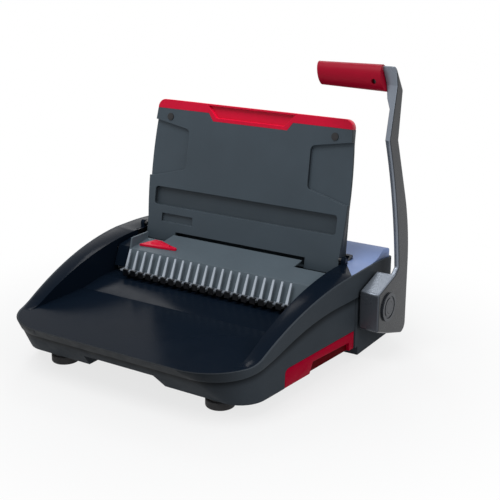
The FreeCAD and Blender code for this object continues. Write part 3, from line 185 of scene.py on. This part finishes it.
FINISHES = {
    "lower_shell": finish("lower_shell", colour=(56, 61, 66), rough=0.5, gloss=0.015),
    "satin_band": finish("satin_band", colour=(57, 62, 67), rough=0.42, gloss=0.02),
    "gloss_tray": finish("gloss_tray", colour=(20, 27, 36), rough=0.2, depth=0.000005, gloss=0.018),
    "rear_shell": finish("rear_shell", colour=(110, 130, 174), rough=0.34, gloss=0.2),
    "pan": finish("pan", colour=(34, 35, 38), rough=0.55),
    "rubber": finish("rubber", colour=(26, 26, 28), rough=0.75, grain=500, depth=0.0001),
    "tower": finish("tower", colour=(79, 89, 96), rough=0.5, gloss=0.2),
    "black_trim": finish("black_trim", colour=(14, 15, 18), rough=0.3),
    "tine_steel": finish("tine_steel", colour=(160, 168, 178), rough=0.35, stretch=ALONG_Z, metal=0.6),
    "steel": finish("steel", colour=(176, 179, 184), rough=0.34, stretch=ALONG_X, metal=0.9),
    "brass": finish("brass", colour=(196, 164, 92), rough=0.32, metal=0.9),
    "handle": finish("handle", colour=(72, 76, 82), rough=0.28, depth=0.000002, metal=0.5, gloss=0.2),
    "grip": finish("grip", colour=(140, 9, 37), rough=0.4, gloss=0.12),
    "cap": finish("cap", colour=(58, 61, 66), rough=0.34, depth=0.000004, metal=0.45, gloss=0.2),
    "red_drawer": finish("red_drawer", colour=(146, 8, 40), rough=0.35, gloss=0.012),
    "red_trim": finish("red_trim", colour=(190, 14, 50), rough=0.33, gloss=0.15),
    "lid": finish("lid", colour=(61, 70, 77), rough=0.48, gloss=0.2),
}

# painted shade, almost black, in the trough under the foot of the lid: its inside below the deck, the end to
# its left and its rim
DECK_Z = 0.131
DECK_MARGIN = 0.0002
TROUGH_RIGHT_X = 0.159
TROUGH_LEFT_X = -0.194
TROUGH_REAR_Y = 0.1412
RIM_RIGHT_X = 0.1628
RIM_REAR_Y = 0.1446
TROUGH_SHADE_SHARE = 0.04
TROUGH = (
    (
        ("X", "LESS_THAN", TROUGH_RIGHT_X),
        ("Y", "LESS_THAN", TROUGH_REAR_Y),
        ("Z", "LESS_THAN", DECK_Z - DECK_MARGIN),
    ),
    (
        ("X", "LESS_THAN", TROUGH_LEFT_X),
        ("Y", "LESS_THAN", TROUGH_REAR_Y),
    ),
    (
        ("X", "LESS_THAN", RIM_RIGHT_X),
        ("Y", "LESS_THAN", RIM_REAR_Y),
        ("Z", "GREATER_THAN", DECK_Z + DECK_MARGIN),
    ),
)


def paint_trough_shade(material):
    """Paint shade, almost black, in the trough in the rear cover."""
    for limits in TROUGH:
        tint(material, within(material.node_tree, limits), TROUGH_SHADE_SHARE)


# the handle, with painted highlights and painted shade: how far its faces turn to the front, up and
# outwards, and where its arm leaves the hub
FRONT_TURN = (-0.45, -0.9)
TOP_TURN = (0.5, 0.9)
SIDE_TURN = (0.75, 0.95)
ARM_FOOT_Z = (0.118, 0.128)
HIGHLIGHT_SHARE = 3
SIDE_SHADE_SHARE = 0.3


def paint_handle(material):
    """Paint highlights on the front of the arm and the faces turned up, and paint shade on the outer side.
    """
    tree = material.node_tree
    front = mapped(tree, facing(tree, "Y"), FRONT_TURN)
    arm = mapped(tree, along_axis(tree, "Z"), ARM_FOOT_Z)
    top = mapped(tree, facing(tree, "Z"), TOP_TURN)
    lit_faces = joined(tree, "MAXIMUM", product(tree, front, arm), top)
    tint(material, lit_faces, HIGHLIGHT_SHARE)
    dim(material, facing(tree, "X"), SIDE_TURN, (1, SIDE_SHADE_SHARE))


# the lid, open as in the photograph: its lean, where its face lies along that lean, and its shaded places
LID_LEAN = math.radians(10.5)
LID_FACE = 0.0861
LID_SIDE_TURN = (0.4, 0.8)
LID_SIDE_SHADE_SHARE = 0.5
GROOVE_DEPTH = (0.002, 0.006)
GROOVE_TOP_Z = (0.207, 0.203)
LID_BACK_TURN = (0.5, 0.1)
GROOVE_SHADE_SHARE = 0.7


def behind_lid(tree):
    """How deep a spot lies behind the face of the lid."""
    place = tree.nodes.new("ShaderNodeTexCoord")
    depth = tree.nodes.new("ShaderNodeVectorMath")
    depth.operation = "DOT_PRODUCT"
    depth.inputs[1].default_value = (0, math.cos(LID_LEAN), -math.sin(LID_LEAN))
    tree.links.new(place.outputs["Object"], depth.inputs[0])
    return joined(tree, "SUBTRACT", depth.outputs["Value"], LID_FACE)


def paint_lid(material):
    """Paint shade on the right side of the lid and in its long groove, but not on its back."""
    tree = material.node_tree
    dim(material, facing(tree, "X"), LID_SIDE_TURN, (1, LID_SIDE_SHADE_SHARE))
    deep = mapped(tree, behind_lid(tree), GROOVE_DEPTH)
    low = mapped(tree, along_axis(tree, "Z"), GROOVE_TOP_Z)
    not_back = mapped(tree, facing(tree, "Y"), LID_BACK_TURN)
    tint(material, product(tree, deep, low, not_back), GROOVE_SHADE_SHARE)


# painted highlight on the red trim of the lid: faces turned up, above the red edge guide that has the same
# finish
SLOPE_TURN = (0.3, 0.6)
SLOPE_FOOT_Z = (0.24, 0.25)
SLOPE_HIGHLIGHT_SHARE = 1.6


def paint_trim(material):
    """Paint highlights on the top of the lid's trim and on the slopes of the grip in it."""
    tree = material.node_tree
    up = mapped(tree, facing(tree, "Z"), SLOPE_TURN)
    high = mapped(tree, along_axis(tree, "Z"), SLOPE_FOOT_Z)
    tint(material, product(tree, up, high), SLOPE_HIGHLIGHT_SHARE)


# the seam of the housings swings up from its front end to its crest, each given as Y and Z
SEAM_FRONT = (-0.208, 0.059)
SEAM_CREST = (0.042, 0.0955)
# painted shadow below the seam, and painted shade on the front of the housings
SEAM_SHADE_DEPTH = (0.0, 0.014)
SEAM_SHADE_SHARES = (0.3, 1)
FRONT_SHADE_Y = (-0.205, -0.15)
FRONT_SHADE_SHARES = (0.4, 1)


def under_seam(tree):
    """How far a spot lies below the seam of the housings."""
    span, heights = zip(SEAM_FRONT, SEAM_CREST)
    height = mapped(tree, along_axis(tree, "Y"), span, heights)
    return joined(tree, "SUBTRACT", height, along_axis(tree, "Z"))


def paint_housings(shell, band):
    """Paint shadow on the lower shell where its edge rolls in under the band, and paint shade on the front
    of both housings.
    """
    dim(shell, under_seam(shell.node_tree), SEAM_SHADE_DEPTH, SEAM_SHADE_SHARES)
    for material in (shell, band):
        dim(material, along_axis(material.node_tree, "Y"), FRONT_SHADE_Y, FRONT_SHADE_SHARES)


# painted shade and painted highlights on the rear cover, handle, lid, trim and housings
paint_trough_shade(FINISHES["rear_shell"])
paint_handle(FINISHES["handle"])
paint_lid(FINISHES["lid"])
paint_trim(FINISHES["red_trim"])
paint_housings(FINISHES["lower_shell"], FINISHES["satin_band"])

# widths of the rounded edges, and what counts as one point, as one flat face and as a sharp edge
SOFT_EDGES = {
    "upper_housing": 0.0008,
    "lid_panel": 0.0008,
    "lid_trim": 0.0015,
    "handle_arm": 0.0025,
    "opener_tower": 0.0008,
    "edge_guide_lever": 0.0006,
    "tray_panel": 0.0008,
}
DRAWER_EDGE = 0.0008
EDGE_SEGMENTS = 2
SAME_POINT = 1e-6
FLAT_ANGLE = math.radians(0.5)
SHARP_ANGLE = math.radians(40)


def soften(obj, width):
    """Rounds a piece's sharp edges a little, so that they catch the light."""
    weld = obj.modifiers.new("weld", "WELD")
    weld.merge_threshold = SAME_POINT
    merge = obj.modifiers.new("flat_faces", "DECIMATE")
    merge.decimate_type = "DISSOLVE"
    merge.angle_limit = FLAT_ANGLE
    bevel = obj.modifiers.new("soft_edges", "BEVEL")
    bevel.width = width
    bevel.segments = EDGE_SEGMENTS
    bevel.limit_method = "ANGLE"
    bevel.angle_limit = SHARP_ANGLE
    bevel.harden_normals = True


# the finger pull of the drawer: roof and back of its solid, its two ends, and the drawer's face at those
NEAR = 1e-5
PULL_ROOF_Z = 0.029
PULL_BACK_X = 0.18575
PULL_Y = (-0.025, 0.072)
PULL_FACE_X = (0.1879, 0.1967)
# the pull as it is shown: an even depth behind the face, and its roof at the two ends
PULL_DEPTH = 0.004
SEEN_ROOF_Z = (0.035, 0.032)


def over_pull(y, ends):
    """A value on the straight line between its readings at the front and the rear end of the finger pull."""
    share = (y - PULL_Y[0]) / (PULL_Y[1] - PULL_Y[0])
    return ends[0] + share * (ends[1] - ends[0])


def drawer_face():
    """The drawer front with a finger pull of even depth, a roof that falls to the rear, and painted shade
    inside it.
    """
    mesh = nodes["drawer_front"].data.copy()
    mesh.materials.append(finish("red_painted_shade", colour=(76, 1, 14), rough=0.4, gloss=0.01))
    back = {point.index for point in mesh.vertices if abs(point.co.x - PULL_BACK_X) < NEAR}
    roof = {point.index for point in mesh.vertices if abs(point.co.z - PULL_ROOF_Z) < NEAR}
    # the back and the roof of the pull take the darker red copy as painted shade
    for face in mesh.polygons:
        corners = set(face.vertices)
        face.material_index = 1 if corners <= back or corners <= roof else 0
    for point in mesh.vertices:
        if point.index in back:
            point.co.x = over_pull(point.co.y, PULL_FACE_X) - PULL_DEPTH
        if point.index in roof:
            point.co.z = over_pull(point.co.y, SEEN_ROOF_Z)
    piece = bpy.data.objects.new("drawer_face", mesh)
    bpy.context.scene.collection.objects.link(piece)
    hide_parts("drawer_front")
    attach(piece, "drawer")
    return piece


for part in frame["record"]["subparts"]:
    obj = nodes[part["node"]]
    obj.data.materials.clear()
    obj.data.materials.append(FINISHES[part["material_slot"]])
for node, width in SOFT_EDGES.items():
    soften(nodes[node], width)
soften(drawer_face(), DRAWER_EDGE)

# a matt floor, which turns into the white surround between two distances, from one share of white to another
FLOOR_REACH = 14.0
FLOOR_COLOUR = (0.6, 0.6, 0.6, 1)
FLOOR_ROUGH = 0.9
FLOOR_GLOSS = 0.1
FADE_REACH = (0.2, 0.6)
FADE_SHARES = (0.76, 1)
SKY_COLOUR = (0.95, 0.97, 1, 1)
SENSOR_WIDTH = 36


def seen(tree):
    """One for rays that show the surround: straight to the camera, mirrored or passed through glass."""
    path = tree.nodes.new("ShaderNodeLightPath")
    total = path.outputs["Is Camera Ray"]
    for word in ("Is Glossy Ray", "Is Transmission Ray"):
        total = joined(tree, "MAXIMUM", total, path.outputs[word])
    return total


def show_white(tree, share, usual, white, output):
    """Lead a usual shader and, by a share, a white one in its place to an output node."""
    mix = tree.nodes.new("ShaderNodeMixShader")
    tree.links.new(share, mix.inputs["Fac"])
    tree.links.new(usual, mix.inputs[1])
    tree.links.new(white, mix.inputs[2])
    tree.links.new(mix.outputs["Shader"], tree.nodes[output].inputs["Surface"])


def floor():
    """A pale floor with the object's shadow, which turns into the white surround further out."""
    mesh = bpy.data.meshes.new("floor")
    corners = [(x * FLOOR_REACH, y * FLOOR_REACH, 0) for x, y in ((-1, -1), (1, -1), (1, 1), (-1, 1))]
    mesh.from_pydata(corners, [], [range(len(corners))])
    obj = bpy.data.objects.new("floor", mesh)
    bpy.context.scene.collection.objects.link(obj)
    material = bpy.data.materials.new("floor")
    material.use_nodes = True
    tree = material.node_tree
    shader = tree.nodes["Principled BSDF"]
    shader.inputs["Base Color"].default_value = FLOOR_COLOUR
    shader.inputs["Roughness"].default_value = FLOOR_ROUGH
    shader.inputs["Specular IOR Level"].default_value = FLOOR_GLOSS
    white = add(tree, "ShaderNodeEmission", Color=WHITE, Strength=1.0)
    place = tree.nodes.new("ShaderNodeTexCoord")
    away = tree.nodes.new("ShaderNodeVectorMath")
    away.operation = "LENGTH"
    tree.links.new(place.outputs["Object"], away.inputs[0])
    fade = mapped(tree, away.outputs["Value"], FADE_REACH, FADE_SHARES)
    share = product(tree, fade, seen(tree))
    show_white(tree, share, shader.outputs["BSDF"], white.outputs["Emission"], "Material Output")
    mesh.materials.append(material)
    return obj


def lamp(name, place, aim, size, power):
    """A soft square lamp turned towards a point."""
    light = bpy.data.lights.new(name, "AREA")
    light.size = size
    light.energy = power
    obj = bpy.data.objects.new(name, light)
    obj.location = place
    obj.rotation_euler = (Vector(aim) - Vector(place)).to_track_quat("-Z", "Y").to_euler()
    bpy.context.scene.collection.objects.link(obj)
    return obj


def sky(strength):
    """An even pale surround that shows as white."""
    world = bpy.data.worlds.new("surround")
    world.use_nodes = True
    tree = world.node_tree
    light = tree.nodes["Background"]
    light.inputs["Color"].default_value = SKY_COLOUR
    light.inputs["Strength"].default_value = strength
    white = add(tree, "ShaderNodeBackground", Color=WHITE, Strength=1.0)
    show_white(tree, seen(tree), light.outputs["Background"], white.outputs["Background"], "World Output")
    bpy.context.scene.world = world


def camera(place, azimuth, elevation, lens):
    """A camera at the photograph's viewing angle, looking level across its own width."""
    data = bpy.data.cameras.new("camera")
    data.lens = lens
    data.sensor_width = SENSOR_WIDTH
    obj = bpy.data.objects.new("camera", data)
    obj.location = place
    obj.rotation_euler = (math.radians(90 - elevation), 0, math.radians(azimuth))
    bpy.context.scene.collection.objects.link(obj)
    bpy.context.scene.camera = obj


stage = [
    floor(),
    lamp("key", place=(-0.2, -0.9, 2.3), aim=(0, 0, 0.1), size=1.2, power=34),
    lamp("side", place=(2.0, -0.4, 1.2), aim=(0, 0, 0.15), size=1.2, power=12),
    lamp("back", place=(-1.1, 1.25, 1.75), aim=(0, 0, 0.15), size=0.6, power=8),
]
sky(strength=0.55)
camera(place=(0.80278, -1.13631, 0.60304), azimuth=32.59, elevation=17.85, lens=74.04)
bpy.context.scene.view_settings.view_transform = "Standard"
